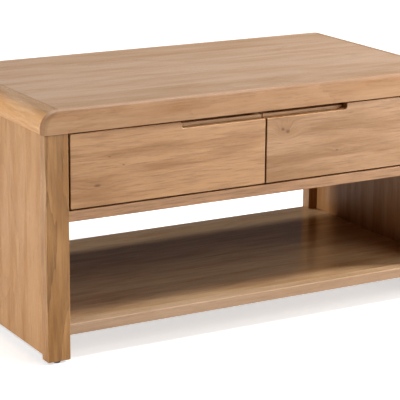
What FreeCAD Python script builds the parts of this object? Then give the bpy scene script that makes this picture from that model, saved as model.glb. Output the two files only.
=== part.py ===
"""Oak coffee table with two drawers over an open shelf.

Millimetres. The origin is on the floor under the middle of the top, +Z is up, X runs along the table
and the drawers open towards -Y. Every board, slide and fastener is a piece of its own.
"""
import FreeCAD
import Part
import Sketcher
import os

doc = FreeCAD.newDocument("coffee_table")
sheet = doc.addObject("Spreadsheet::Sheet", "Sizes")

# Driving dimensions of the table, in millimetres.
sizes = {
    # The top: a veneered field between oak lippings, its two ends rounded over.
    "table_length": 900,
    "table_depth": 490,
    "table_height": 459,
    "top_thickness": 41,
    "top_end_radius": 32,
    "top_end_lipping_flat": 2,
    "top_edge_lipping_depth": 15,
    "top_arris": 8,
    "top_end_overhang": 4,
    "top_front_overhang": 2,
    # The ends: two stiles that stand on glides, with a panel between them.
    "stile_width": 44,
    "stile_depth": 25,
    "stile_arris": 1.5,
    "side_panel_thickness": 24,
    "side_panel_lift": 14,
    "glide_height": 5,
    "glide_radius": 8,
    "glide_bevel": 1.5,
    "glide_stem_radius": 2.5,
    "glide_stem_length": 18,
    # The deck under the drawers, the lower shelf, the back and the divider.
    "drawer_case_height": 140,
    "deck_thickness": 20,
    "shelf_lift": 50,
    "shelf_thickness": 20,
    "rail_setback": 1,
    "rail_arris": 1.5,
    "back_panel_thickness": 18,
    "back_panel_setback": 4,
    "divider_thickness": 18,
    "divider_clearance": 1.5,
    # The drawers: an outer front with a finger notch, a sub-front and a box behind it.
    "drawer_gap": 3,
    "drawer_front_thickness": 16,
    "drawer_front_arris": 1.2,
    "drawer_subfront_thickness": 15,
    "drawer_subfront_inset": 1,
    "drawer_subfront_drop": 6,
    "notch_length": 177,
    "notch_height": 12,
    "notch_corner": 6.5,
    "finger_groove_depth": 5,
    "finger_groove_height": 15,
    "drawer_side_thickness": 12,
    "drawer_head_room": 27,
    "drawer_back_clearance": 23,
    "drawer_side_arris": 2,
    "drawer_lift": 8,
    "drawer_bottom_thickness": 6,
    "drawer_bottom_lift": 10,
    "drawer_groove_depth": 6,
    "drawer_groove_clearance": 0.2,
    # The telescopic slides: three nested steel channels on each side of a drawer.
    "slide_height": 45,
    "slide_thickness": 12.7,
    "slide_sheet": 1.2,
    "slide_running_gap": 0.4,
    "slide_screw_room": 2.4,
    "slide_case_tip_clearance": 2.3,
    "slide_middle_tip_clearance": 0.3,
    "slide_setback": 4,
    "slide_end_setback": 6,
    "packer_end_margin": 10,
    "packer_height": 60,
    # Fasteners.
    "dowel_radius": 4,
    "dowel_length": 30,
    "peg_clearance": 0.05,
    "peg_hole_spare": 1,
    "screw_radius": 1.75,
    "screw_head_radius": 3.5,
    "screw_head_height": 1.8,
    "screw_clearance": 0.05,
    "screw_hole_spare": 1,
    "slide_screw_length": 14,
    "drawer_slide_screw_length": 11,
    "front_screw_length": 25,
    "bracket_screw_length": 15,
    "bracket_leg": 24,
    "bracket_width": 20,
    "bracket_sheet": 2,
    # How far a cut runs past the face that it opens.
    "overrun": 2,
}
for row, (alias, value) in enumerate(sizes.items(), start=1):
    sheet.set(f"A{row}", alias)
    sheet.set(f"B{row}", str(value))
    sheet.setAlias(f"B{row}", alias)
doc.recompute()

# Where repeated fasteners stand, as shares of the piece that they hold.
side_dowel_shares = (-0.38, -0.13, 0.13, 0.38)
stile_dowel_shares = (0.12, 0.5, 0.88)
slide_screw_shares = (0.08, 0.5, 0.92)
drawer_slide_screw_shares = (0.14, 0.56, 0.86)
front_screw_x_shares = (0.22, 0.74)
front_screw_z_shares = (0.3, 0.68)
bracket_y_shares = (-0.28, 0.28)

# Faces that several pieces share, as expressions of the sheet.
half_length = "(Sizes.table_length / 2)"
side_out = "(Sizes.table_length / 2 - Sizes.top_end_overhang)"
stile_in = f"({side_out} - Sizes.stile_width)"
panel_in = f"({side_out} - Sizes.side_panel_thickness)"
divider_face = "(Sizes.divider_thickness / 2)"
top_front = "(-Sizes.table_depth / 2)"
case_front = f"({top_front} + Sizes.top_front_overhang)"
case_back = f"(-{case_front})"
panel_front = f"({case_front} + Sizes.stile_depth)"
panel_back = f"(-{panel_front})"
back_panel_out = f"({case_back} - Sizes.back_panel_setback)"
back_panel_in = f"({back_panel_out} - Sizes.back_panel_thickness)"
top_under = "(Sizes.table_height - Sizes.top_thickness)"
deck_top = f"({top_under} - Sizes.drawer_case_height)"
deck_low = f"({deck_top} - Sizes.deck_thickness)"
shelf_top = "(Sizes.shelf_lift + Sizes.shelf_thickness)"
subfront_face = f"({case_front} + Sizes.drawer_front_thickness)"
box_front = f"({subfront_face} + Sizes.drawer_subfront_thickness)"
box_back = f"({back_panel_in} - Sizes.drawer_back_clearance)"
box_low = f"({deck_top} + Sizes.drawer_lift)"
box_high = f"({top_under} - Sizes.drawer_head_room)"
front_low = f"({deck_top} + Sizes.drawer_gap)"
front_high = f"({top_under} - Sizes.drawer_gap)"
slide_front = f"({box_front} + Sizes.slide_setback)"
slide_back = f"({box_back} - Sizes.slide_end_setback)"
slide_length = f"({slide_back} - {slide_front})"
slide_middle = f"(({box_low} + {box_high}) / 2)"
lipping_width = "(Sizes.top_end_radius + Sizes.top_end_lipping_flat)"

nodes = []
corner = {}
turns = {
    "+X": FreeCAD.Rotation(FreeCAD.Vector(0, 1, 0), 90),
    "-X": FreeCAD.Rotation(FreeCAD.Vector(0, 1, 0), -90),
    "+Y": FreeCAD.Rotation(FreeCAD.Vector(1, 0, 0), -90),
    "-Y": FreeCAD.Rotation(FreeCAD.Vector(1, 0, 0), 90),
    "+Z": FreeCAD.Rotation(),
    "-Z": FreeCAD.Rotation(FreeCAD.Vector(1, 0, 0), 180),
}


def less(value, taken):
    """The expression of one place less another."""
    return f"{value} - ({taken})"


def size_box(box, x, y, z):
    """Bind a box to its low and high faces, given along X, Y and Z."""
    for name, (low, high) in zip(("Length", "Width", "Height"), (x, y, z)):
        box.setExpression(name, less(high, low))


def set_in(feature, body, point):
    """Bind a feature's place in its body to a point of the table."""
    for axis, value, start in zip("xyz", point, corner[body.Label]):
        feature.setExpression(f"Placement.Base.{axis}", less(value, start))


def new_body(label, point):
    """Start a piece whose own origin is a point of the table."""
    body = doc.addObject("PartDesign::Body", label)
    corner[label] = point
    for axis, value in zip("xyz", point):
        body.setExpression(f"Placement.Base.{axis}", value)
    return body


def board(label, x, y, z):
    """A sawn board between its low and high faces."""
    body = new_body(label, (x[0], y[0], z[0]))
    nodes.append(body)
    blank = body.newObject("PartDesign::AdditiveBox", f"{label}_blank")
    size_box(blank, x, y, z)
    return body


def trench(body, x, y, z):
    """Cut a square-edged recess out of a piece."""
    cut = body.newObject("PartDesign::SubtractiveBox", f"{body.Label}_cut")
    size_box(cut, x, y, z)
    set_in(cut, body, (x[0], y[0], z[0]))


def bore(body, heading, point, radius, depth):
    """Drill a round hole from a point of the table."""
    hole = body.newObject("PartDesign::SubtractiveCylinder", f"{body.Label}_hole")
    hole.Placement = FreeCAD.Placement(FreeCAD.Vector(), turns[heading])
    hole.setExpression("Radius", radius)
    hole.setExpression("Height", depth)
    set_in(hole, body, point)


def lies_on(edge, shape, side):
    """Whether an edge lies on the outermost face of a shape on one side."""
    end = side[1] + ("Min" if side[0] == "-" else "Max")
    away = getattr(edge.BoundBox, end) - getattr(shape.BoundBox, end)
    flat = getattr(edge.BoundBox, side[1] + "Length")
    return max(abs(away), flat) < Part.Precision.confusion() * shape.Length


def runs_along(edge, axis):
    """Whether an edge starts out parallel to an axis."""
    run = edge.tangentAt(edge.FirstParameter)
    return abs(getattr(run, axis.lower())) > 1 - Part.Precision.confusion()


def round_edges(body, radius, chosen):
    """Round those edges of a piece, as it stands so far, that a test picks."""
    doc.recompute()
    base = body.Tip
    arris = body.newObject("PartDesign::Fillet", f"{body.Label}_arris")
    names = [
        f"Edge{number}"
        for number, edge in enumerate(base.Shape.Edges, start=1)
        if chosen(edge, base.Shape)
    ]
    arris.Base = (base, names)
    arris.setExpression("Radius", radius)
    doc.recompute()


def ease(body, radius, side, along):
    """Soften the arrises on one side of a piece that run along one axis."""
    round_edges(body, radius, lambda edge, shape: lies_on(edge, shape, side) and runs_along(edge, along))


def rod(name, heading, point, radius, length):
    """A round bar from a point of the table."""
    bar = doc.addObject("Part::Cylinder", name)
    bar.Placement = FreeCAD.Placement(FreeCAD.Vector(), turns[heading])
    bar.setExpression("Radius", radius)
    bar.setExpression("Height", length)
    for axis, value in zip("xyz", point):
        bar.setExpression(f"Placement.Base.{axis}", value)
    return bar


def group(label, members):
    """Like pieces kept together as one node of separate solids."""
    bundle = doc.addObject("Part::Compound", label)
    bundle.Links = members
    nodes.append(bundle)
    return bundle


def mirrored(low, high):
    """The same span on the other side of the table's middle."""
    return (f"(-{high})", f"(-{low})")


def on_side(hand, low, high):
    """A span given for the right-hand side of the table, on either hand."""
    return (low, high) if hand == "right" else mirrored(low, high)


def at_side(hand, value):
    """A place given for the right-hand side of the table, on either hand."""
    return value if hand == "right" else f"(-{value})"


def sideways(hand, outward):
    """The heading along X that points out to one hand of the table, or back from it."""
    return "+X" if (hand == "right") == outward else "-X"


def stepped(point, heading, distance):
    """A point moved along a heading by a distance."""
    sign = heading[0]
    moved = list(point)
    place = "XYZ".index(heading[1])
    moved[place] = f"({point[place]} {sign} {distance})"
    return tuple(moved)


def opposite(heading):
    """The heading that points the other way."""
    return ("-" if heading[0] == "+" else "+") + heading[1]


def dowel(name, heading, point, first, second):
    """A dowel centred on a joint, and its hole in each of the two boards."""
    half = "Sizes.dowel_length / 2"
    depth = f"{half} + Sizes.peg_hole_spare"
    radius = "Sizes.dowel_radius + Sizes.peg_clearance"
    bore(first, opposite(heading), point, radius, depth)
    bore(second, heading, point, radius, depth)
    start = stepped(point, opposite(heading), half)
    return rod(name, heading, start, "Sizes.dowel_radius", "Sizes.dowel_length")


def screw(name, heading, point, length, pieces):
    """A pan-head screw whose head sits on a face, and its hole through the pieces it holds."""
    spare = "Sizes.screw_hole_spare"
    for piece in pieces:
        bore(piece, heading, point, "Sizes.screw_radius + Sizes.screw_clearance", f"{length} + {spare}")
    head_start = stepped(point, opposite(heading), "Sizes.screw_head_height")
    head = rod(f"{name}_head", heading, head_start, "Sizes.screw_head_radius", "Sizes.screw_head_height")
    shank = rod(f"{name}_shank", heading, point, "Sizes.screw_radius", length)
    whole = doc.addObject("Part::Fuse", name)
    whole.Base = head
    whole.Tool = shank
    return whole


def plane(body, role):
    """One of a body's own origin planes."""
    return next(part for part in body.Origin.OriginFeatures if part.Role == role)


def profile_sketch(body, outline, constraints, dimensions):
    """A closed, fully dimensioned outline on a body's XZ plane."""
    sketch = body.newObject("Sketcher::SketchObject", f"{body.Label}_outline")
    sketch.AttachmentSupport = [(plane(body, "XZ_Plane"), "")]
    sketch.MapMode = "FlatFace"
    sketch.addGeometry(outline, False)
    for rule in constraints:
        sketch.addConstraint(Sketcher.Constraint(*rule))
    for name, value, rule in dimensions:
        number = sketch.addConstraint(Sketcher.Constraint(*rule))
        sketch.renameConstraint(number, name)
        sketch.setExpression(f"Constraints.{name}", value)
    return sketch


def pad(body, sketch, length, backwards):
    """Extrude an outline along the table's depth."""
    solid = body.newObject("PartDesign::Pad", f"{body.Label}_pad")
    solid.Profile = sketch
    solid.setExpression("Length", length)
    solid.Reversed = backwards
    doc.recompute()
    return solid


def segment(start, end):
    """A straight line of an outline, from one (x, z) point to another."""
    return Part.LineSegment(FreeCAD.Vector(*start, 0), FreeCAD.Vector(*end, 0))


def quarter(centre, radius, start):
    """A quarter circle of an outline, anticlockwise from a start angle in quarter turns."""
    circle = Part.Circle(FreeCAD.Vector(*centre, 0), FreeCAD.Vector(0, 0, 1), radius)
    turn = FreeCAD.Units.parseQuantity("90 deg").getValueAs("rad").Value
    return Part.ArcOfCircle(circle, start * turn, (start + 1) * turn)


# The top's long lippings: thin oak strips along the front and the back, whose ends follow the rounded
# ends of the top, with a softened outer arris.
length = sizes["table_length"]
thick = sizes["top_thickness"]
round_over = sizes["top_end_radius"]
for edge_name, point_y, backwards in (
    ("front", top_front, True),
    ("back", f"(-{top_front})", False),
):
    lipping = new_body(f"top_lipping_{edge_name}", ("0", point_y, top_under))
    outline = [
        segment((-length / 2, 0), (length / 2, 0)),
        segment((length / 2, 0), (length / 2, thick - round_over)),
        quarter((length / 2 - round_over, thick - round_over), round_over, 0),
        segment((length / 2 - round_over, thick), (round_over - length / 2, thick)),
        quarter((round_over - length / 2, thick - round_over), round_over, 1),
        segment((-length / 2, thick - round_over), (-length / 2, 0)),
    ]
    rules = [
        ("Coincident", 0, 2, 1, 1),
        ("Tangent", 1, 2, 2, 1),
        ("Tangent", 2, 2, 3, 1),
        ("Tangent", 3, 2, 4, 1),
        ("Tangent", 4, 2, 5, 1),
        ("Coincident", 5, 2, 0, 1),
        ("Horizontal", 0),
        ("Vertical", 1),
        ("Vertical", 5),
        ("Equal", 2, 4),
        ("Symmetric", 0, 1, 0, 2, -1, 1),
    ]
    dimensions = [
        ("length", "Sizes.table_length", ("DistanceX", 0, 1, 0, 2, length)),
        ("thickness", "Sizes.top_thickness", ("DistanceY", 0, 2, 3, 1, thick)),
        ("round_over", "Sizes.top_end_radius", ("Radius", 2, round_over)),
    ]
    sketch = profile_sketch(lipping, outline, rules, dimensions)
    pad(lipping, sketch, "Sizes.top_edge_lipping_depth", backwards)
    outer = "-Y" if edge_name == "front" else "+Y"
    round_edges(
        lipping,
        "Sizes.top_arris",
        lambda edge, shape: lies_on(edge, shape, outer) and not lies_on(edge, shape, "-Z"),
    )
    nodes.append(lipping)

# The top's end lippings: oak bars rounded over along the ends of the top.
width = sizes["top_end_radius"] + sizes["top_end_lipping_flat"]
lipping_inner = f"({half_length} - {lipping_width})"
field_front = f"({top_front} + Sizes.top_edge_lipping_depth)"
field_back = f"(-{field_front})"
top_ends = {}
for hand in ("left", "right"):
    sign = 1 if hand == "right" else -1
    end = new_body(f"top_lipping_{hand}", (at_side(hand, lipping_inner), field_front, top_under))
    arc_centre = (sign * (width - round_over), thick - round_over)
    outline = [
        segment((0, 0), (sign * width, 0)),
        segment((sign * width, 0), (sign * width, thick - round_over)),
        quarter(arc_centre, round_over, 0 if hand == "right" else 1),
        segment((sign * (width - round_over), thick), (0, thick)),
        segment((0, thick), (0, 0)),
    ]
    arc_low, arc_high = (1, 2) if hand == "right" else (2, 1)
    rules = [
        ("Coincident", 0, 2, 1, 1),
        ("Tangent", 1, 2, 2, arc_low),
        ("Tangent", 2, arc_high, 3, 1),
        ("Coincident", 3, 2, 4, 1),
        ("Coincident", 4, 2, 0, 1),
        ("Coincident", 0, 1, -1, 1),
        ("Horizontal", 0),
        ("Vertical", 1),
        ("Horizontal", 3),
        ("Vertical", 4),
    ]
    across = (0, 1, 0, 2) if hand == "right" else (0, 2, 0, 1)
    dimensions = [
        ("width", lipping_width, ("DistanceX", *across, width)),
        ("thickness", "Sizes.top_thickness", ("DistanceY", 4, 2, 4, 1, thick)),
        ("round_over", "Sizes.top_end_radius", ("Radius", 2, round_over)),
    ]
    sketch = profile_sketch(end, outline, rules, dimensions)
    pad(end, sketch, less(field_back, field_front), True)
    nodes.append(end)
    top_ends[hand] = end

# The top's field: a veneered panel that fills the frame of lippings.
field = board(
    "top_panel",
    (f"(-{lipping_inner})", lipping_inner),
    (field_front, field_back),
    (top_under, "Sizes.table_height"),
)

# The ends: stiles with softened front or back arrises, and the veneered panels between them.
stiles = {}
panels = {}
glides = []
glide_x = f"({side_out} - Sizes.stile_width / 2)"
glide_y = f"({case_back} - Sizes.stile_depth / 2)"
for hand in ("left", "right"):
    for row_name, low_y, high_y, side in (
        ("front", case_front, panel_front, "-Y"),
        ("rear", panel_back, case_back, "+Y"),
    ):
        stile = board(
            f"stile_{row_name}_{hand}",
            on_side(hand, stile_in, side_out),
            (low_y, high_y),
            ("Sizes.glide_height", top_under),
        )
        ease(stile, "Sizes.stile_arris", side=side, along="Z")
        stiles[hand, row_name] = stile
        seat = (at_side(hand, glide_x), glide_y if row_name == "rear" else f"(-{glide_y})")
        bore(
            stile,
            "+Z",
            (*seat, "Sizes.glide_height"),
            "Sizes.glide_stem_radius + Sizes.peg_clearance",
            "Sizes.glide_stem_length + Sizes.peg_hole_spare",
        )
        name = f"glide_{row_name}_{hand}"
        tread = doc.addObject("Part::Cone", f"{name}_tread")
        tread.setExpression("Radius1", "Sizes.glide_radius - Sizes.glide_bevel")
        tread.setExpression("Radius2", "Sizes.glide_radius")
        tread.setExpression("Height", "Sizes.glide_height")
        for axis, value in zip("xy", seat):
            tread.setExpression(f"Placement.Base.{axis}", value)
        stem = rod(
            f"{name}_stem",
            "+Z",
            (*seat, "Sizes.glide_height"),
            "Sizes.glide_stem_radius",
            "Sizes.glide_stem_length",
        )
        glide = doc.addObject("Part::Fuse", name)
        glide.Base = tread
        glide.Tool = stem
        glides.append(glide)
    panels[hand] = board(
        f"side_panel_{hand}",
        on_side(hand, panel_in, side_out),
        (panel_front, panel_back),
        ("Sizes.side_panel_lift", top_under),
    )
group("foot_glides", glides)

# The deck under the drawers: a panel between the sides, with oak rails between the stiles.
rail_front = f"({case_front} + Sizes.rail_setback)"
deck_z = (deck_low, deck_top)
deck = board("deck_panel", (f"(-{panel_in})", panel_in), (panel_front, panel_back), deck_z)
rail = board("deck_front_rail", (f"(-{stile_in})", stile_in), (rail_front, panel_front), deck_z)
ease(rail, "Sizes.rail_arris", side="-Y", along="X")
rail = board("deck_back_rail", (f"(-{stile_in})", stile_in), (panel_back, f"(-{rail_front})"), deck_z)
ease(rail, "Sizes.rail_arris", side="+Y", along="X")

# The lower shelf, made the same way.
shelf_z = ("Sizes.shelf_lift", shelf_top)
shelf = board("shelf_panel", (f"(-{panel_in})", panel_in), (panel_front, panel_back), shelf_z)
rail = board("shelf_front_lipping", (f"(-{stile_in})", stile_in), (rail_front, panel_front), shelf_z)
ease(rail, "Sizes.rail_arris", side="-Y", along="X")
rail = board("shelf_back_lipping", (f"(-{stile_in})", stile_in), (panel_back, f"(-{rail_front})"), shelf_z)
ease(rail, "Sizes.rail_arris", side="+Y", along="X")

# The back of the drawer case, and the divider between the drawers.
case_z = (deck_top, top_under)
board("back_panel", (f"(-{stile_in})", stile_in), (back_panel_in, back_panel_out), case_z)
divider_front = f"({box_front} + Sizes.divider_clearance)"
divider_x = (f"(-{divider_face})", divider_face)
divider = board("centre_divider", divider_x, (divider_front, back_panel_in), case_z)

# Dowels: upright ones under the ends of the top, level ones at the deck, the shelf and the stiles.
panel_middle = f"({side_out} - Sizes.side_panel_thickness / 2)"
panel_depth = less(panel_back, panel_front)
panel_height = less(top_under, "Sizes.side_panel_lift")
top_dowels = []
case_dowels = []
stile_dowels = []
for hand in ("left", "right"):
    out = sideways(hand, True)
    for number, share in enumerate(side_dowel_shares):
        y = f"({share} * ({panel_depth}))"
        top_dowels.append(dowel(
            f"top_dowel_{hand}_{number}",
            "+Z",
            (at_side(hand, panel_middle), y, top_under),
            panels[hand],
            top_ends[hand],
        ))
        for level, sheet_board, z in (
            ("deck", deck, f"({deck_low} + Sizes.deck_thickness / 2)"),
            ("shelf", shelf, "(Sizes.shelf_lift + Sizes.shelf_thickness / 2)"),
        ):
            case_dowels.append(dowel(
                f"{level}_dowel_{hand}_{number}",
                out,
                (at_side(hand, panel_in), y, z),
                sheet_board,
                panels[hand],
            ))
    for row_name, joint, heading in (("front", panel_front, "-Y"), ("rear", panel_back, "+Y")):
        for number, share in enumerate(stile_dowel_shares):
            z = f"(Sizes.side_panel_lift + {share} * ({panel_height}))"
            stile_dowels.append(dowel(
                f"stile_dowel_{row_name}_{hand}_{number}",
                heading,
                (at_side(hand, panel_middle), joint, z),
                panels[hand],
                stiles[hand, row_name],
            ))
group("top_dowels", top_dowels)
group("case_dowels", case_dowels)
group("stile_dowels", stile_dowels)

# Steel angle brackets that draw the top down on the side panels, with their screws.
brackets = []
bracket_screws = []
bracket_reach = f"({panel_in} - Sizes.bracket_leg)"
for hand in ("left", "right"):
    for number, share in enumerate(bracket_y_shares):
        y = f"({share} * ({panel_depth}))"
        span_y = (f"({y} - Sizes.bracket_width / 2)", f"({y} + Sizes.bracket_width / 2)")
        name = f"bracket_{hand}_{number}"
        bracket = new_body(name, (on_side(hand, bracket_reach, panel_in)[0], span_y[0], "0"))
        legs = (
            (on_side(hand, bracket_reach, panel_in), (f"({top_under} - Sizes.bracket_sheet)", top_under)),
            (
                on_side(hand, f"({panel_in} - Sizes.bracket_sheet)", panel_in),
                (f"({top_under} - Sizes.bracket_leg)", top_under),
            ),
        )
        for span_x, span_z in legs:
            leg = bracket.newObject("PartDesign::AdditiveBox", f"{name}_leg")
            size_box(leg, span_x, span_y, span_z)
            set_in(leg, bracket, (span_x[0], span_y[0], span_z[0]))
        middle = "(Sizes.bracket_leg + Sizes.bracket_sheet) / 2"
        bracket_screws.append(screw(
            f"{name}_top_screw",
            "+Z",
            (at_side(hand, f"({panel_in} - {middle})"), y, f"({top_under} - Sizes.bracket_sheet)"),
            "Sizes.bracket_screw_length",
            (bracket, field),
        ))
        bracket_screws.append(screw(
            f"{name}_side_screw",
            sideways(hand, True),
            (at_side(hand, f"({panel_in} - Sizes.bracket_sheet)"), y, f"({top_under} - {middle})"),
            "Sizes.bracket_screw_length",
            (bracket, panels[hand]),
        ))
        brackets.append(bracket)
group("top_brackets", brackets)
group("bracket_screws", bracket_screws)

# The packers bring the outer slides flush with the inner faces of the stiles.
packers = {}
packer_z = (f"({slide_middle} - Sizes.packer_height / 2)", f"({slide_middle} + Sizes.packer_height / 2)")
for hand in ("left", "right"):
    packers[hand] = board(
        f"slide_packer_{hand}",
        on_side(hand, stile_in, panel_in),
        (panel_front, f"({slide_back} + Sizes.packer_end_margin)"),
        packer_z,
    )


def channel(label, face, heading, start, reach, half_height, open_side):
    """A steel channel of one slide, from a start to a reach off its case face, open to one side."""
    near = stepped((face, "0", "0"), heading, start)[0]
    far = stepped((face, "0", "0"), heading, reach)[0]
    low, high = (near, far) if heading[0] == "+" else (far, near)
    sheet_in = "Sizes.slide_sheet"
    low_cut = f"({low} - Sizes.overrun)"
    high_cut = f"({high} + Sizes.overrun)"
    if open_side == "+X":
        low_cut = f"({low} + {sheet_in})"
    else:
        high_cut = f"({high} - {sheet_in})"
    span_y = (slide_front, slide_back)
    body = board(
        label,
        (low, high),
        span_y,
        (f"({slide_middle} - {half_height})", f"({slide_middle} + {half_height})"),
    )
    trench(
        body,
        (low_cut, high_cut),
        (f"({span_y[0]} - Sizes.overrun)", f"({span_y[1]} + Sizes.overrun)"),
        (f"({slide_middle} - {half_height} + {sheet_in})", f"({slide_middle} + {half_height} - {sheet_in})"),
    )
    return body


# The drawers. Each is given for the right-hand side and mirrored for the left: its front runs from the
# middle gap to the stile, and its box hangs between two slides behind the sub-front.
case_half = "Sizes.slide_height / 2"
nest = "(Sizes.slide_sheet + Sizes.slide_running_gap)"
middle_half = f"({case_half} - {nest})"
drawer_half = f"({middle_half} - {nest})"
middle_start = "(Sizes.slide_sheet + Sizes.slide_screw_room)"
drawer_start = f"({middle_start} + {nest})"
front_in = "(Sizes.drawer_gap / 2)"
front_out = f"({stile_in} - Sizes.drawer_gap)"
box_in = f"({divider_face} + Sizes.slide_thickness)"
box_out = f"({stile_in} - Sizes.slide_thickness)"
notch_floor = f"({front_high} - Sizes.notch_height)"
bottom_low = f"({box_low} + Sizes.drawer_bottom_lift)"
bottom_high = f"({bottom_low} + Sizes.drawer_bottom_thickness)"
groove_z = (
    f"({bottom_low} - Sizes.drawer_groove_clearance)",
    f"({bottom_high} + Sizes.drawer_groove_clearance)",
)
outsides = ("-X", "+X", "-Z", "+Z")
case_slide_screws = []
for hand in ("left", "right"):
    # The outer front: a finger notch at its top corner beside the middle, and a groove behind the notch
    # for the fingertips.
    front = board(
        f"{hand}_drawer_front",
        on_side(hand, front_in, front_out),
        (case_front, subfront_face),
        (front_low, front_high),
    )
    notch_end = f"({front_in} + Sizes.notch_length)"
    trench(
        front,
        on_side(hand, f"({front_in} - Sizes.overrun)", notch_end),
        (f"({case_front} - Sizes.overrun)", f"({subfront_face} + Sizes.overrun)"),
        (notch_floor, f"({front_high} + Sizes.overrun)"),
    )
    round_edges(
        front,
        "Sizes.notch_corner",
        lambda edge, shape: runs_along(edge, "Y") and not any(lies_on(edge, shape, out) for out in outsides),
    )
    round_edges(front, "Sizes.drawer_front_arris", lambda edge, shape: lies_on(edge, shape, "-Y"))
    trench(
        front,
        on_side(
            hand,
            f"({front_in} + Sizes.finger_groove_depth)",
            f"({notch_end} - Sizes.notch_corner - Sizes.finger_groove_depth)",
        ),
        (f"({subfront_face} - Sizes.finger_groove_depth)", f"({subfront_face} + Sizes.overrun)"),
        (f"({notch_floor} - Sizes.finger_groove_height)", f"({notch_floor} + Sizes.overrun)"),
    )

    # The sub-front, which carries the box and stands behind the notch, lower than the front.
    subfront = board(
        f"{hand}_drawer_subfront",
        on_side(hand, front_in, f"({front_out} - Sizes.drawer_subfront_inset)"),
        (subfront_face, box_front),
        (f"({front_low} + Sizes.drawer_subfront_inset)", f"({front_high} - Sizes.drawer_subfront_drop)"),
    )
    bottom_x = on_side(
        hand,
        f"({box_in} + Sizes.drawer_side_thickness - Sizes.drawer_groove_depth)",
        f"({box_out} - Sizes.drawer_side_thickness + Sizes.drawer_groove_depth)",
    )
    trench(
        subfront,
        bottom_x,
        (f"({box_front} - Sizes.drawer_groove_depth)", f"({box_front} + Sizes.overrun)"),
        groove_z,
    )

    # The box: grooved sides, a back that stands on the bottom, and the bottom in its grooves.
    sides = {}
    for place, low, high, groove in (
        (
            "inner",
            box_in,
            f"({box_in} + Sizes.drawer_side_thickness)",
            (
                f"({box_in} + Sizes.drawer_side_thickness - Sizes.drawer_groove_depth)",
                f"({box_in} + Sizes.drawer_side_thickness + Sizes.overrun)",
            ),
        ),
        (
            "outer",
            f"({box_out} - Sizes.drawer_side_thickness)",
            box_out,
            (
                f"({box_out} - Sizes.drawer_side_thickness - Sizes.overrun)",
                f"({box_out} - Sizes.drawer_side_thickness + Sizes.drawer_groove_depth)",
            ),
        ),
    ):
        side = board(
            f"{hand}_drawer_side_{place}",
            on_side(hand, low, high),
            (box_front, box_back),
            (box_low, box_high),
        )
        ease(side, "Sizes.drawer_side_arris", side="+Z", along="Y")
        trench(
            side,
            on_side(hand, *groove),
            (f"({box_front} - Sizes.overrun)", f"({box_back} + Sizes.overrun)"),
            groove_z,
        )
        sides[place] = side
    back = board(
        f"{hand}_drawer_back",
        on_side(
            hand,
            f"({box_in} + Sizes.drawer_side_thickness)",
            f"({box_out} - Sizes.drawer_side_thickness)",
        ),
        (f"({box_back} - Sizes.drawer_side_thickness)", box_back),
        (bottom_high, box_high),
    )
    ease(back, "Sizes.drawer_side_arris", side="+Z", along="X")
    board(
        f"{hand}_drawer_bottom",
        (
            f"({bottom_x[0]} + Sizes.drawer_groove_clearance)",
            f"({bottom_x[1]} - Sizes.drawer_groove_clearance)",
        ),
        (f"({box_front} - Sizes.drawer_groove_depth + Sizes.drawer_groove_clearance)", box_back),
        (bottom_low, bottom_high),
    )

    # Four screws through the sub-front hold the outer front.
    front_screws = []
    front_width = less(front_out, front_in)
    front_height = less(front_high, front_low)
    for row_number, z_share in enumerate(front_screw_z_shares):
        for number, x_share in enumerate(front_screw_x_shares):
            x = f"({front_in} + {x_share} * ({front_width}))"
            z = f"({front_low} + {z_share} * ({front_height}))"
            front_screws.append(screw(
                f"{hand}_front_screw_{row_number}_{number}",
                "-Y",
                (at_side(hand, x), box_front, z),
                "Sizes.front_screw_length",
                (subfront, front),
            ))
    group(f"{hand}_front_screws", front_screws)

    # The slides: on the divider inside, on the packer outside.
    drawer_slide_screws = []
    for place, face, outward, holder in (
        ("inner", divider_face, True, divider),
        ("outer", stile_in, False, packers[hand]),
    ):
        heading = sideways(hand, outward)
        start_face = at_side(hand, face)
        case_channel = channel(
            f"{hand}_slide_{place}_case",
            start_face,
            heading,
            "0",
            "(Sizes.slide_thickness - Sizes.slide_case_tip_clearance)",
            case_half,
            heading[0] + "X",
        )
        channel(
            f"{hand}_slide_{place}_middle",
            start_face,
            heading,
            middle_start,
            "(Sizes.slide_thickness - Sizes.slide_middle_tip_clearance)",
            middle_half,
            heading[0] + "X",
        )
        drawer_channel = channel(
            f"{hand}_slide_{place}_drawer",
            start_face,
            heading,
            drawer_start,
            "Sizes.slide_thickness",
            drawer_half,
            opposite(heading),
        )
        for number, share in enumerate(slide_screw_shares):
            y = f"({slide_front} + {share} * {slide_length})"
            seat = stepped((start_face, y, slide_middle), heading, "Sizes.slide_sheet")
            pieces = (case_channel, holder)
            case_slide_screws.append(screw(
                f"{hand}_{place}_case_screw_{number}",
                opposite(heading),
                seat,
                "Sizes.slide_screw_length" if place == "outer" else "Sizes.divider_thickness / 2",
                pieces,
            ))
        for number, share in enumerate(drawer_slide_screw_shares):
            y = f"({slide_front} + {share} * {slide_length})"
            reach = "(Sizes.slide_thickness - Sizes.slide_sheet)"
            seat = stepped((start_face, y, slide_middle), heading, reach)
            drawer_slide_screws.append(screw(
                f"{hand}_{place}_drawer_screw_{number}",
                heading,
                seat,
                "Sizes.drawer_slide_screw_length",
                (drawer_channel, sides[place]),
            ))
    group(f"{hand}_drawer_slide_screws", drawer_slide_screws)
group("case_slide_screws", case_slide_screws)

# Build, test and write every piece.
doc.recompute()
for item in doc.Objects:
    if "Invalid" in item.State or "Error" in item.State:
        raise RuntimeError(f"{item.Label} did not build: {item.State}")
for node in nodes:
    if node.Shape.isNull() or not node.Shape.isValid():
        raise RuntimeError(f"{node.Label} has no valid shape")
os.makedirs("parts", exist_ok=True)
for node in nodes:
    node.Shape.exportStep(f"parts/{node.Label}.step")
print(len(nodes), "nodes written")
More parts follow.
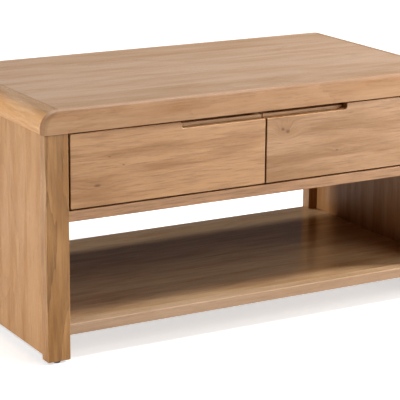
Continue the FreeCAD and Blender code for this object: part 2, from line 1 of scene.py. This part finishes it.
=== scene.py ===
"""Looks of an oak coffee table with two drawers over an open shelf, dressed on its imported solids."""
import bpy
import math
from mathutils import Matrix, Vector


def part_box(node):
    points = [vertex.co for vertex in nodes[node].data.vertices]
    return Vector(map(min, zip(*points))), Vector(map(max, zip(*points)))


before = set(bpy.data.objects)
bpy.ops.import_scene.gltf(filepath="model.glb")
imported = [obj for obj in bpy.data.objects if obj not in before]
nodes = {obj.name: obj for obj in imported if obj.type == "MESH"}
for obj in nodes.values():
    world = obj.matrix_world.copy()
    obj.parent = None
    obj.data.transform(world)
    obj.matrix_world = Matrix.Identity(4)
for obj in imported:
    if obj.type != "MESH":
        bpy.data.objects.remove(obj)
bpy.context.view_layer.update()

# The top's field: a flat panel veneered with crown-cut European oak. The veneer leaves run the length of
# the table and lie edge to edge, so each leaf has its own heart, its own rings and its own tone.
MM = 1000.0  # millimetres in a metre


def linear(code):
    """An sRGB hex colour as linear red, green, blue and alpha."""
    parts = [int(code[i:i + 2], 16) / 255 for i in (1, 3, 5)]
    return [c / 12.92 if c <= 0.04045 else ((c + 0.055) / 1.055) ** 2.4 for c in parts] + [1.0]


def add(tree, kind, *feeds, named=None, **settings):
    """Add a node with its settings. A feed that is a node or a socket is linked, and a value is set."""
    node = tree.nodes.new("ShaderNode" + kind)
    for name, value in settings.items():
        setattr(node, name, value)
    sockets = [socket for socket in node.inputs if socket.enabled]
    for socket, feed in list(zip(sockets, feeds)) + [(node.inputs[k], v) for k, v in (named or {}).items()]:
        if isinstance(feed, bpy.types.Node):
            feed = next(out for out in feed.outputs if out.enabled)
        if isinstance(feed, bpy.types.NodeSocket):
            tree.links.new(feed, socket)
        elif feed is not None:
            socket.default_value = feed
    return node


def new_material(name):
    """An empty material and its shader, already joined to the output."""
    material = bpy.data.materials.new(name)
    material.use_nodes = True
    tree = material.node_tree
    tree.nodes.clear()
    shader = add(tree, "BsdfPrincipled")
    add(tree, "OutputMaterial", shader)
    return material, tree, shader


def dress(material, *names):
    """Give a material to every face of these nodes."""
    for name in names:
        slots = nodes[name].data.materials
        slots.clear()
        slots.append(material)


def oak_figure():
    """Growth rings, streaks and pores of oak, in millimetres along, across and into a board."""
    tree = bpy.data.node_groups.new("oak figure", "ShaderNodeTree")
    tree.interface.new_socket("Place", in_out="INPUT", socket_type="NodeSocketVector")
    for name in ("Leaf", "Start", "Seed", "Heart", "Ring", "Swirl"):
        tree.interface.new_socket(name, in_out="INPUT", socket_type="NodeSocketFloat")
    for name in ("Ring", "Band", "Streak", "Pore", "Tone"):
        tree.interface.new_socket(name, in_out="OUTPUT", socket_type="NodeSocketFloat")
    start = tree.nodes.new("NodeGroupInput").outputs
    place = add(tree, "SeparateXYZ", start["Place"]).outputs

    # Each leaf is cut from another place along and across its log.
    seed_step, log_length = 7.31, 900.0
    from_start = add(tree, "Math", place["Y"], start["Start"], operation="SUBTRACT")
    leaf = add(tree, "Math", from_start, start["Leaf"], operation="DIVIDE")
    leaf = add(tree, "Math", leaf, operation="FLOOR")
    key = add(tree, "Math", leaf, seed_step, start["Seed"], operation="MULTIPLY_ADD")
    luck = add(tree, "TexWhiteNoise", named={"W": key}, noise_dimensions="1D").outputs["Color"]
    luck = add(tree, "SeparateColor", luck).outputs
    along = add(tree, "Math", luck[0], log_length, place["X"], operation="MULTIPLY_ADD")
    middle = add(tree, "Math", leaf, 0.5)
    middle = add(tree, "Math", middle, start["Leaf"], operation="MULTIPLY")
    across = add(tree, "Math", from_start, middle, operation="SUBTRACT")
    shift = add(tree, "Math", luck[1], 0.5, operation="SUBTRACT")
    shift = add(tree, "Math", shift, start["Leaf"], operation="MULTIPLY")
    across = add(tree, "Math", across, shift)

    # The heart wanders slowly along the log, up to 30 mm sideways and 45 mm inward, which draws the
    # cathedral arches.
    sideways, inward, nearest = 60.0, 90.0, 0.6
    slow_along = add(tree, "Math", along, 0.0021, operation="MULTIPLY")
    slow_across = add(tree, "Math", across, 0.004, operation="MULTIPLY")
    bend = add(tree, "TexNoise", add(tree, "CombineXYZ", slow_along, slow_across, key),
               named={"Scale": 1.0, "Detail": 1.5, "Roughness": 0.5})
    bend = add(tree, "SeparateColor", bend.outputs["Color"]).outputs
    side = add(tree, "Math", bend[0], 0.5, operation="SUBTRACT")
    side = add(tree, "Math", side, sideways, across, operation="MULTIPLY_ADD")
    deep = add(tree, "Math", bend[1], 0.5, operation="SUBTRACT")
    deep = add(tree, "Math", deep, inward, place["Z"], operation="MULTIPLY_ADD")
    heart = add(tree, "Math", luck[2], nearest)
    heart = add(tree, "Math", heart, start["Heart"], operation="MULTIPLY")
    deep = add(tree, "Math", deep, heart)
    radius = add(tree, "CombineXYZ", side, deep, 0.0)
    radius = add(tree, "VectorMath", radius, operation="LENGTH").outputs["Value"]
    radius = add(tree, "Math", radius, start["Swirl"])

    # Rings are uneven: their spacing drifts, their lines waver and each year is darker or paler. A ring is
    # brown where it starts and fades towards the next.
    waver_years, drift_years, fade = 0.9, 3.0, 1.7
    waver = add(tree, "CombineXYZ", along, across, place["Z"])
    waver = add(tree, "VectorMath", waver, (0.012, 0.09, 0.09), operation="MULTIPLY")
    waver = add(tree, "TexNoise", waver, named={"Scale": 1.0, "Detail": 2.0})
    drift = add(tree, "Math", radius, 0.035, operation="MULTIPLY")
    drift = add(tree, "TexNoise", named={"W": drift, "Scale": 1.0}, noise_dimensions="1D")
    year = add(tree, "Math", radius, start["Ring"], operation="DIVIDE")
    year = add(tree, "Math", waver, waver_years, year, operation="MULTIPLY_ADD")
    year = add(tree, "Math", drift, drift_years, year, operation="MULTIPLY_ADD")
    season = add(tree, "Math", year, operation="FRACT")
    early = add(tree, "Math", 1.0, season, operation="SUBTRACT")
    early = add(tree, "Math", early, fade, operation="POWER")
    vivid = add(tree, "Math", year, operation="FLOOR")
    vivid = add(tree, "TexWhiteNoise", named={"W": vivid}, noise_dimensions="1D").outputs["Value"]
    vivid = add(tree, "Math", vivid, 0.65, 0.35, operation="MULTIPLY_ADD")
    ring = add(tree, "Math", vivid, early, operation="MULTIPLY")

    # Soft bands 28 mm wide and 250 mm long and streaks of 4 by 60 mm nearly follow the board. The open
    # pores crowd in the early wood of each ring; at 0.7 by 11 mm they are coarser than real ones, to show.
    sway, pore_edges = 10.0, (0.56, 0.70)
    flow = add(tree, "Math", bend[2], sway, across, operation="MULTIPLY_ADD")
    flow = add(tree, "Math", flow, start["Swirl"])
    flow = add(tree, "CombineXYZ", along, flow, place["Z"])
    band = add(tree, "VectorMath", flow, (0.004, 0.036, 0.036), operation="MULTIPLY")
    band = add(tree, "TexNoise", band, named={"Scale": 1.0, "Detail": 2.5, "Roughness": 0.6})
    streak = add(tree, "VectorMath", flow, (0.016, 0.26, 0.26), operation="MULTIPLY")
    streak = add(tree, "TexNoise", streak, named={"Scale": 1.0, "Detail": 4.0, "Roughness": 0.64})
    pore = add(tree, "VectorMath", flow, (0.09, 1.5, 1.5), operation="MULTIPLY")
    pore = add(tree, "TexNoise", pore, named={"Scale": 1.0, "Detail": 1.0})
    pore = add(tree, "MapRange", pore, *pore_edges, 0.0, 1.0)
    crowd = add(tree, "Math", ring, 0.8, 0.2, operation="MULTIPLY_ADD")
    pore = add(tree, "Math", pore, crowd, operation="MULTIPLY")

    # The tone differs from leaf to leaf, and drifts in clouds within one.
    leaf_tone = add(tree, "Math", luck[1], 0.45, operation="MULTIPLY")
    cloud = add(tree, "CombineXYZ", along, across, key)
    cloud = add(tree, "VectorMath", cloud, (0.006, 0.03, 1.0), operation="MULTIPLY")
    cloud = add(tree, "TexNoise", cloud, named={"Scale": 1.0, "Detail": 3.0, "Distortion": 0.4})
    tone = add(tree, "Math", leaf_tone, cloud)
    out = tree.nodes.new("NodeGroupOutput").inputs
    for name, made in (("Ring", ring), ("Band", band), ("Streak", streak), ("Pore", pore), ("Tone", tone)):
        tree.links.new(next(o for o in made.outputs if o.enabled), out[name])
    return tree


figure = oak_figure()


def oak(name, run, face, pale, gold, brown, leaf=2000.0, start=-1000.0, seed=0.0, heart=60.0, ring=8.0,
        arches=0.14, contrast=1.0, lines=0.26, ends=0.38, edge_shade=0.0, rough=0.28, sheen=0.4,
        cheek=None, turn=(0.4, 0.8), knots=(), glue_and_shade_line=None):
    """Matt-lacquered oak with its grain along one axis and its show face square to another.

    The eye gets pale and golden bands, brown streaks and arches, short dark pores, darker end grain, and a
    low sheen that is duller over the pores. In millimetres, leaf is the width of a veneer leaf, start the
    edge of the first, heart the depth of the log's heart and ring the width of a growth ring. Arches, lines
    and ends are how brown the rings, streaks and end grain get; where end grain lies in narrow gaps, a larger
    ends also paints shade on it. The rounded-arris setting is painted shade: how much browner the rounded
    arrises between show face and cheek get, which dulls their highlight. A cheek is the pale and the gold of
    the faces beside the show face, and turn is how far a face turns to count as one. Knots are (along,
    across, size) on the face, in millimetres, and their stretch. The glue-and-shade line is how far along, on
    both sides of the middle, a dark line crosses the grain: a glue line on the top, and a painted shade line
    at the top edge of the ends and stiles, under the top's overhang.
    """
    material, tree, shader = new_material(name)
    shader.inputs["Specular IOR Level"].default_value = sheen
    axes = run + next(axis for axis in "XYZ" if axis not in run + face) + face
    spots = add(tree, "TexCoord").outputs
    spot = add(tree, "SeparateXYZ", spots["Object"]).outputs
    place = add(tree, "CombineXYZ", *[spot[axis] for axis in axes])
    place = add(tree, "VectorMath", place, (MM, MM, MM), operation="MULTIPLY")

    # A knot has a dark core and a warm halo, and the grain swings round it.
    swirl_reach, swirl_push, core_brown, halo_reach, halo_gold = 7.0, 2.4, 0.85, 12.0, 0.2
    swirl = core = halo = None
    for along, across, size, stretch in knots:
        away = add(tree, "VectorMath", place, (along, across, 0.0), operation="SUBTRACT")
        away = add(tree, "VectorMath", away, (1.0 / (size * stretch), 1.0 / size, 0.0), operation="MULTIPLY")
        away = add(tree, "VectorMath", away, operation="LENGTH").outputs["Value"]
        push = add(tree, "MapRange", away, 0.0, swirl_reach, size * swirl_push, 0.0,
                   interpolation_type="SMOOTHERSTEP")
        spike = add(tree, "MapRange", away, 0.2, 1.4, core_brown, 0.0, interpolation_type="SMOOTHSTEP")
        glow = add(tree, "MapRange", away, 0.5, halo_reach, halo_gold, 0.0, interpolation_type="SMOOTHSTEP")
        swirl = add(tree, "Math", swirl, push) if swirl else push
        core = add(tree, "Math", core, spike, operation="MAXIMUM") if core else spike
        halo = add(tree, "Math", halo, glow) if halo else glow
    grain = tree.nodes.new("ShaderNodeGroup")
    grain.node_tree = figure
    tree.links.new(place.outputs["Vector"], grain.inputs["Place"])
    for socket, value in (("Leaf", leaf), ("Start", start), ("Seed", seed), ("Heart", heart), ("Ring", ring)):
        grain.inputs[socket].default_value = value
    if swirl:
        tree.links.new(swirl.outputs[0], grain.inputs["Swirl"])
    grain = grain.outputs

    # Pale and gold lie in bands and clouds, another pair of them on the cheeks.
    facing = add(tree, "VectorMath", spots["Normal"], operation="ABSOLUTE")
    facing = add(tree, "SeparateXYZ", facing).outputs
    pale, gold = linear(pale), linear(gold)
    if cheek:
        beside = add(tree, "MapRange", facing[axes[1]], *turn)
        pale = add(tree, "Mix", beside, pale, linear(cheek[0]), data_type="RGBA").outputs[2]
        gold = add(tree, "Mix", beside, gold, linear(cheek[1]), data_type="RGBA").outputs[2]
    spread = 0.17 / contrast
    bands = add(tree, "MapRange", grain["Band"], 0.5 - spread, 0.5 + spread, 0.0, 0.8)
    tones = add(tree, "MapRange", grain["Tone"], 0.45, 1.0, -0.3 * contrast, 0.4 * contrast)
    tones = add(tree, "Math", tones, halo) if halo else tones
    golden = add(tree, "Math", bands, tones, use_clamp=True)
    colour = add(tree, "Mix", golden, pale, gold, data_type="RGBA")

    # Brown comes on top: arches, streaks, pores, end grain, painted shade on rounded arrises, glue lines and
    # painted shade lines, and knots.
    pore_brown, glue_and_shade_brown = 0.3, 0.5
    rings = add(tree, "Math", grain["Ring"], arches, operation="MULTIPLY")
    streaks = add(tree, "MapRange", grain["Streak"], 0.4, 0.72, 0.0, lines)
    dark = add(tree, "Math", rings, streaks)
    dark = add(tree, "Math", grain["Pore"], pore_brown, dark, operation="MULTIPLY_ADD")
    dark = add(tree, "Math", add(tree, "MapRange", facing[run], 0.45, 0.9, 0.0, ends), dark)
    # Painted shade: rounded arrises that turn halfway between show face and cheek get browner, which dulls
    # their highlight.
    if edge_shade:
        shaded_edge = add(tree, "Math", facing[axes[1]], facing[face], operation="MULTIPLY")
        dark = add(tree, "Math", add(tree, "MapRange", shaded_edge, 0.1, 0.45, 0.0, edge_shade), dark)
    # A dark line across the grain: a real glue line on the top, a painted shade line under the top's overhang
    # on the ends and stiles.
    if glue_and_shade_line:
        off = add(tree, "Math", spot[run], operation="ABSOLUTE")
        off = add(tree, "Math", off, MM, -glue_and_shade_line, operation="MULTIPLY_ADD")
        off = add(tree, "Math", off, operation="ABSOLUTE")
        dark = add(tree, "Math", add(tree, "MapRange", off, 0.5, 3.5, glue_and_shade_brown, 0.0), dark)
    if core:
        dark = add(tree, "Math", dark, core, operation="MAXIMUM")
    colour = add(tree, "Mix", dark, colour.outputs[2], linear(brown), data_type="RGBA")
    tree.links.new(colour.outputs[2], shader.inputs["Base Color"])

    # The lacquer is duller over streaks and pores, and sinks a little into pores and early wood.
    dull = add(tree, "MapRange", grain["Streak"], 0.3, 0.75, rough - 0.04, rough + 0.07)
    dull = add(tree, "Math", grain["Pore"], 0.18, dull, operation="MULTIPLY_ADD")
    tree.links.new(dull.outputs[0], shader.inputs["Roughness"])
    relief = add(tree, "Math", grain["Pore"], -1.0, operation="MULTIPLY")
    relief = add(tree, "Math", relief, rings, operation="SUBTRACT")
    bump = add(tree, "Bump", named={"Height": relief, "Strength": 0.25, "Distance": 0.0003})
    tree.links.new(bump.outputs[0], shader.inputs["Normal"])
    return material


top_low, top_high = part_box("top_panel")
top_leaves = 5
leaf_width = (top_high.y - top_low.y) * MM / top_leaves
dress(
    oak("oak crown-cut veneer, top", "X", "Z", "#CBAB91", "#B99472", "#6E4A2C", leaf=leaf_width,
        start=top_low.y * MM, seed=3.0, heart=34.0, arches=0.1, lines=0.15, glue_and_shade_line=top_high.x * MM),
    "top_panel",
)

# The top's lippings: solid oak bars glued round the field. The end bars run from front to back and are
# rounded over; the front and back strips run the full length, so their ends show end grain at the corners.
# Painted shade: the front and back strips' rounded top arris is painted browner, to dull its highlight.
dress(
    oak("solid oak, front edge", "X", "Y", "#BC9470", "#A97B54", "#6B4627", seed=11.0, heart=30.0,
        lines=0.2, ends=0.3, edge_shade=0.2, rough=0.5, sheen=0.12, cheek=("#CAA78C", "#B99271"),
        turn=(0.62, 0.86)),
    "top_lipping_front", "top_lipping_back",
)
dress(
    oak("solid oak, rounded ends", "Y", "Z", "#C8A585", "#B8906A", "#744B28", seed=17.0, heart=26.0,
        arches=0.1, contrast=1.1, lines=0.28, cheek=("#E5B789", "#D99E62")),
    "top_lipping_left", "top_lipping_right",
)

# The ends: oak stiles with a veneered panel between them, flush outside. The same vertical boards run over
# panel and stile, so the joint hardly shows on the outside, while the stiles' front faces are browner.
board_width = 82.0
side_low, side_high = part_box("stile_front_left")
side_tones = ("#C99A6D", "#B68352")
# Painted shade: a brown line along the top edge of the ends, where they meet the top's underside, stands in
# for the shade under the overhang.
dress(
    oak("oak veneer, ends", "Z", "X", *side_tones, "#74502F", leaf=board_width, start=side_low.y * MM,
        seed=23.0, heart=42.0, contrast=1.4, lines=0.34, sheen=0.15, glue_and_shade_line=side_high.z * MM),
    "side_panel_left", "side_panel_right",
)
# The stiles carry the same painted shade line along their top edge, under the top's overhang.
dress(
    oak("solid oak, stiles", "Z", "Y", "#B7854F", "#9D6B34", "#64400F", seed=39.0, heart=12.0, ring=9.0,
        arches=0.5, contrast=1.6, lines=0.45, cheek=side_tones, glue_and_shade_line=side_high.z * MM),
    "stile_front_left", "stile_front_right", "stile_rear_left", "stile_rear_right",
)

# The glides: black nylon buttons, each moulded with a stem that is pressed into the foot of a stile. The
# mould leaves a fine grit of about half a millimetre, which keeps their gloss low.
grit_scale = 1800.0
nylon, tree, shader = new_material("black nylon, moulded")
shader.inputs["Base Color"].default_value = linear("#151413")
spot = add(tree, "TexCoord").outputs["Object"]
grit = add(tree, "TexNoise", spot, named={"Scale": grit_scale, "Detail": 2.0})
tree.links.new(add(tree, "MapRange", grit, 0.3, 0.7, 0.42, 0.62).outputs[0], shader.inputs["Roughness"])
tree.links.new(
    add(tree, "Bump", named={"Height": grit, "Strength": 0.25, "Distance": 0.0001}).outputs[0],
    shader.inputs["Normal"],
)
dress(nylon, "foot_glides")

# The deck and the shelf: veneered panels, lipped front and back with oak rails that run between the stiles.
# The deck is hidden under the drawers; its veneer is painted plain and darker than oak, a painted shade that
# lets less light bounce off its underside onto the shelf.
shelf_leaf = 109.0
shelf_start = -2 * shelf_leaf
dress(
    oak("oak crown-cut veneer, shelf", "X", "Z", "#CBA87F", "#B68B60", "#634227", leaf=shelf_leaf,
        start=shelf_start, seed=41.0, heart=38.0, contrast=1.2, lines=0.3, rough=0.16, sheen=0.5),
    "shelf_panel",
)
dress(
    oak("oak veneer darkened for shade, deck", "X", "Z", "#9A7651", "#84603B", "#4A3018", leaf=shelf_leaf,
        start=shelf_start, seed=43.0, heart=38.0, rough=0.5, sheen=0.2),
    "deck_panel",
)
# Painted shade: the rails' top and bottom faces are painted browner than their fronts, so the gap under the
# drawers, where the top face shows, reads dark.
dress(
    oak("solid oak, deck rails", "X", "Y", "#B2855D", "#9E7047", "#6A4729", seed=47.0, heart=28.0,
        contrast=1.4, lines=0.75, cheek=("#9C6C40", "#86582C")),
    "deck_front_rail", "deck_back_rail",
)
dress(
    oak("solid oak, shelf lippings", "X", "Y", "#B79576", "#A5805E", "#6A4729", seed=49.0, heart=28.0,
        cheek=("#CCAB89", "#BA946D")),
    "shelf_front_lipping", "shelf_back_lipping",
)

# The back of the drawer case: a veneered panel held between the rear stiles, above the deck's back rail.
# Its grain runs along the table, as it does on the drawer fronts.
dress(
    oak("oak veneer, back", "X", "Y", "#CFA77C", "#BA8D60", "#6B4828", leaf=140.0, start=278.0, seed=53.0),
    "back_panel",
)

# The drawer fronts: oak-faced boards with the grain along the table and a few small pin knots. The sub-front
# behind each shows only in the finger notch, where it lies in shade, and it is painted paler than the fronts:
# painted light.
for hand, seed, contrast, pale, gold, knots in (
    ("left", 65.0, 1.5, "#BE8F61", "#9D6D3E",
     ((-347.0, 318.0, 3.0, 3.0), (-323.0, 367.5, 1.0, 3.0), (-295.0, 350.0, 1.2, 3.0))),
    ("right", 72.0, 1.3, "#BC9168", "#9C7043",
     ((36.0, 379.5, 4.0, 1.1), (47.0, 374.5, 4.6, 1.2), (158.0, 327.0, 2.0, 1.8))),
):
    # Painted shade and painted light: the fronts' end-grain edges, seen in the gaps, are painted darker than
    # end grain alone, and their top faces and notch floors, which lie in shade, are painted much paler than
    # the face.
    dress(
        oak(f"oak crown-cut veneer, {hand} drawer", "X", "Y", pale, gold, "#63380F", seed=seed,
            heart=46.0, contrast=contrast, lines=0.46, ends=0.6,
            cheek=("#F3C290", "#E6AE74"), knots=knots),
        f"{hand}_drawer_front",
    )
# Painted light: the sub-fronts are paler than the fronts, to lift the shade in the finger notch.
dress(
    oak("oak veneer, sub-fronts", "X", "Y", "#E1B27E", "#D49F68", "#7A5534", seed=71.0, heart=40.0),
    "left_drawer_subfront", "right_drawer_subfront",
)

# The drawer boxes and the divider: birch plywood, sawn to size and glued up into boxes. It is pale and
# faintly waved on its faces, and its cut edges show thin plies, every other one browner.
ply_thickness = 1.35


def plywood(name, run, face, first):
    """Lacquered birch plywood whose plies lie square to one axis, counted from its first face."""
    material, tree, shader = new_material(name)
    axes = run + next(axis for axis in "XYZ" if axis not in run + face) + face
    spot = add(tree, "SeparateXYZ", add(tree, "TexCoord").outputs["Object"]).outputs
    place = add(tree, "CombineXYZ", *[spot[axis] for axis in axes])
    place = add(tree, "VectorMath", place, (MM, MM, MM), operation="MULTIPLY")
    depth = add(tree, "SeparateXYZ", place).outputs["Z"]
    ply = add(tree, "Math", depth, first, operation="SUBTRACT")
    ply = add(tree, "Math", ply, ply_thickness, operation="DIVIDE")
    ply = add(tree, "Math", ply, 2.0, operation="MODULO")
    ply = add(tree, "Math", add(tree, "Math", ply, operation="ABSOLUTE"), 1.0, operation="GREATER_THAN")
    wave = add(tree, "TexNoise", add(tree, "VectorMath", place, (0.006, 0.045, 0.045), operation="MULTIPLY"),
               named={"Scale": 1.0, "Detail": 4.0, "Roughness": 0.6, "Distortion": 0.8})
    fine = add(tree, "TexNoise", add(tree, "VectorMath", place, (0.05, 0.9, 0.9), operation="MULTIPLY"),
               named={"Scale": 1.0, "Detail": 2.0})
    shade = add(tree, "MapRange", wave, 0.3, 0.7, 0.0, 0.75)
    shade = add(tree, "Math", add(tree, "MapRange", fine, 0.45, 0.75, 0.0, 0.35), shade, use_clamp=True)
    face_colour = add(tree, "Mix", shade, linear("#E0C59B"), linear("#CBA878"), data_type="RGBA")
    colour = add(tree, "Mix", ply, face_colour, linear("#A57F55"), data_type="RGBA")
    tree.links.new(colour.outputs[2], shader.inputs["Base Color"])
    tree.links.new(add(tree, "MapRange", fine, 0.3, 0.7, 0.42, 0.55).outputs[0], shader.inputs["Roughness"])
    tree.links.new(
        add(tree, "Bump", named={"Height": fine, "Strength": 0.2, "Distance": 0.0001}).outputs[0],
        shader.inputs["Normal"],
    )
    return material


for hand in ("left", "right"):
    for name in (f"{hand}_drawer_side_inner", f"{hand}_drawer_side_outer"):
        dress(plywood(f"birch plywood, {name}", "Y", "X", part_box(name)[0].x * MM), name)
back = "left_drawer_back"
dress(plywood("birch plywood, drawer backs", "X", "Y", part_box(back)[0].y * MM), back, "right_drawer_back")
floor_board = "left_drawer_bottom"
dress(plywood("birch plywood, drawer bottoms", "X", "Z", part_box(floor_board)[0].z * MM),
      floor_board, "right_drawer_bottom")
dress(plywood("birch plywood, divider", "Y", "X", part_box("centre_divider")[0].x * MM), "centre_divider")

# Packers and dowels: beech, planed or turned, glued in and left bare. It is a pinkish tan with short brown
# ray flecks, about 1 mm wide and 7 mm long.
beech, tree, shader = new_material("beech, bare")
spot = add(tree, "TexCoord").outputs["Object"]
fleck = add(tree, "TexNoise", add(tree, "VectorMath", spot, (900.0, 140.0, 900.0), operation="MULTIPLY"),
            named={"Scale": 1.0, "Detail": 1.0})
cloud = add(tree, "TexNoise", spot, named={"Scale": 14.0, "Detail": 3.0})
colour = add(tree, "Mix", cloud, linear("#D3AC86"), linear("#BE9169"), data_type="RGBA")
colour = add(tree, "Mix", add(tree, "MapRange", fleck, 0.6, 0.68, 0.0, 0.6), colour, linear("#8E6040"),
             data_type="RGBA")
tree.links.new(colour.outputs[2], shader.inputs["Base Color"])
shader.inputs["Roughness"].default_value = 0.6
dress(beech, "slide_packer_left", "slide_packer_right", "top_dowels", "case_dowels", "stile_dowels")

# The slides, brackets and screws: rolled steel, pressed to shape and plated with bright zinc, which is grey
# and clouded, with faint streaks along the roll, about 0.4 mm wide.
zinc, tree, shader = new_material("zinc-plated steel, rolled")
shader.inputs["Metallic"].default_value = 1.0
spot = add(tree, "TexCoord").outputs["Object"]
roll = add(tree, "TexNoise", add(tree, "VectorMath", spot, (2400.0, 30.0, 2400.0), operation="MULTIPLY"),
           named={"Scale": 1.0, "Detail": 2.0})
bloom = add(tree, "TexNoise", spot, named={"Scale": 60.0, "Detail": 4.0})
colour = add(tree, "Mix", bloom, linear("#B9BCC0"), linear("#9DA1A6"), data_type="RGBA")
tree.links.new(colour.outputs[2], shader.inputs["Base Color"])
tree.links.new(add(tree, "MapRange", roll, 0.3, 0.7, 0.26, 0.42).outputs[0], shader.inputs["Roughness"])
slides = [f"{hand}_slide_{place}_{part}" for hand in ("left", "right") for place in ("inner", "outer")
          for part in ("case", "middle", "drawer")]
screws = [f"{hand}_{kind}_screws" for hand in ("left", "right") for kind in ("front", "drawer_slide")]
dress(zinc, *slides, *screws, "case_slide_screws", "top_brackets", "bracket_screws")

# The studio: a plain white floor, a soft main lamp high on the right, a weaker one high behind, low fills
# from the front and the left, and a far narrow lamp on the left that reaches in over the shelf. The floor
# and the world glow white for the camera, less near the table, so that its shadow stays on the floor.
bpy.context.scene.view_settings.view_transform = "Standard"
white, glossy_share = (1.0, 1.0, 1.0, 1.0), 0.078
near, far, near_glow = 0.6, 2.2, 0.6
bpy.ops.mesh.primitive_plane_add(size=40.0)
floor = bpy.context.object
floor.name = "floor"
paper, tree, shader = new_material("white paper, matt")
shader.inputs["Base Color"].default_value = linear("#EDEDED")
shader.inputs["Roughness"].default_value = 0.9
shader.inputs["Specular IOR Level"].default_value = 0.1
path = add(tree, "LightPath").outputs
seen = add(tree, "Math", path["Is Glossy Ray"], glossy_share, path["Is Camera Ray"],
           operation="MULTIPLY_ADD")
off = add(tree, "NewGeometry").outputs["Position"]
off = add(tree, "VectorMath", off, operation="LENGTH").outputs["Value"]
share = add(tree, "MapRange", off, near, far, near_glow, 1.0, interpolation_type="SMOOTHSTEP")
glow = add(tree, "Emission", white, add(tree, "Math", seen, share, operation="MULTIPLY"))
both = add(tree, "AddShader", shader, glow)
output = next(node for node in tree.nodes if node.type == "OUTPUT_MATERIAL")
tree.links.new(both.outputs[0], output.inputs["Surface"])
floor.data.materials.append(paper)

world = bpy.data.worlds.new("studio")
bpy.context.scene.world = world
world.use_nodes = True
tree = world.node_tree
tree.nodes["Background"].inputs["Color"].default_value = white
path = add(tree, "LightPath").outputs
seen = add(tree, "Math", path["Is Glossy Ray"], glossy_share, path["Is Camera Ray"],
           operation="MULTIPLY_ADD")
tree.links.new(seen.outputs[0], tree.nodes["Background"].inputs["Strength"])

for name, place, aim, size, power in (
    ("right lamp", (2.5, -0.82, 2.17), (0.0, -0.1, 0.3), (0.5, 0.5), 121.0),
    ("rear lamp", (-0.2, 1.3, 2.6), (0.0, 0.1, 0.3), (0.5, 0.4), 24.5),
    ("front fill", (1.3, -2.2, 1.9), (0.0, 0.0, 0.3), (1.2, 1.2), 26.0),
    ("low right fill", (2.2, -2.6, 0.35), (0.0, 0.0, 0.3), (1.0, 0.5), 20.0),
    ("low front fill", (1.2, -3.2, 0.35), (0.0, 0.0, 0.3), (1.0, 0.5), 12.5),
    ("left fill", (-2.2, -0.6, 1.8), (-0.3, 0.0, 0.25), (0.8, 0.8), 20.5),
    ("left strip lamp", (-8.0, 1.006, 0.35), (0.0, 0.24, 0.17), (0.56, 0.84), 340.0),
):
    lamp = bpy.data.lights.new(name, "AREA")
    lamp.shape = "RECTANGLE"
    lamp.size, lamp.size_y = size
    lamp.energy = power
    stand = bpy.data.objects.new(name, lamp)
    stand.location = place
    stand.rotation_euler = (Vector(aim) - Vector(place)).to_track_quat("-Z", "Y").to_euler()
    bpy.context.scene.collection.objects.link(stand)

# The camera stands left of the front and looks a little down, far off with a long lens. Its place and lens
# come from fitting the table's edges to the photograph.
lens = bpy.data.cameras.new("camera")
lens.sensor_width = 36.0
lens.lens = 159.386
camera = bpy.data.objects.new("camera", lens)
camera.location = (-1.68625, -2.94023, 1.09662)
camera.rotation_euler = [math.radians(angle) for angle in (75.0455, -0.469, -29.71)]
bpy.context.scene.collection.objects.link(camera)
bpy.context.scene.camera = camera
